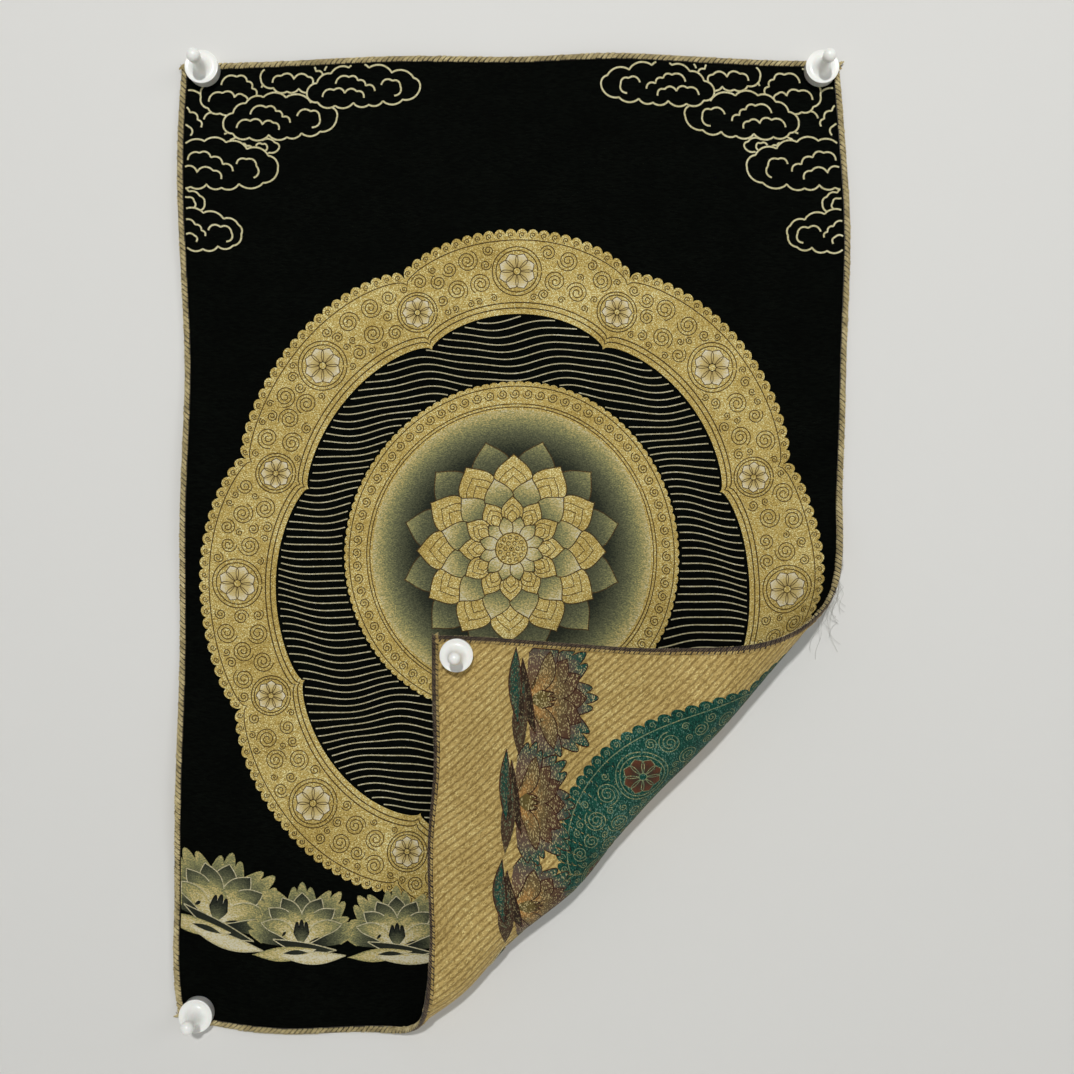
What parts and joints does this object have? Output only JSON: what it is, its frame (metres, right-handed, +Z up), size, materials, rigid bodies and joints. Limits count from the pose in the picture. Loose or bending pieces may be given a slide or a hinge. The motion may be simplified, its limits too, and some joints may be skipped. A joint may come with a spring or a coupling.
{
  "type": "brocade wall hanging with push pins",
  "caption": "Woven brocade panel with a sewn edge, pinned flat to a wall by push pins, one lower corner turned up over the front.",
  "frame": {"origin": "on the wall's face, halfway between the needles of the two top pins", "axes": "+X to the viewer's right along the top edge, +Z up, +Y into the wall; the cloth hangs on the -Y side"},
  "size_m": [0.3053, 0.0579, 0.4422],
  "materials": {
    "brocade": "woven brocade, black ground with metallic gold figures",
    "edge_thread": "khaki and brown overlock thread",
    "pin_plastic": "white, glossy",
    "needle_steel": "bright"
  },
  "bodies": {
    "root": {"cloth": "brocade", "edge_thread_top": "edge_thread", "edge_thread_left": "edge_thread", "edge_thread_bottom": "edge_thread", "edge_thread_right": "edge_thread", "pin_head_top_left": "pin_plastic", "pin_head_top_right": "pin_plastic", "pin_head_bottom_left": "pin_plastic", "pin_head_flap": "pin_plastic", "pin_needle_top_left": "needle_steel", "pin_needle_top_right": "needle_steel", "pin_needle_bottom_left": "needle_steel", "pin_needle_flap": "needle_steel"}
  },
  "joints": []
}
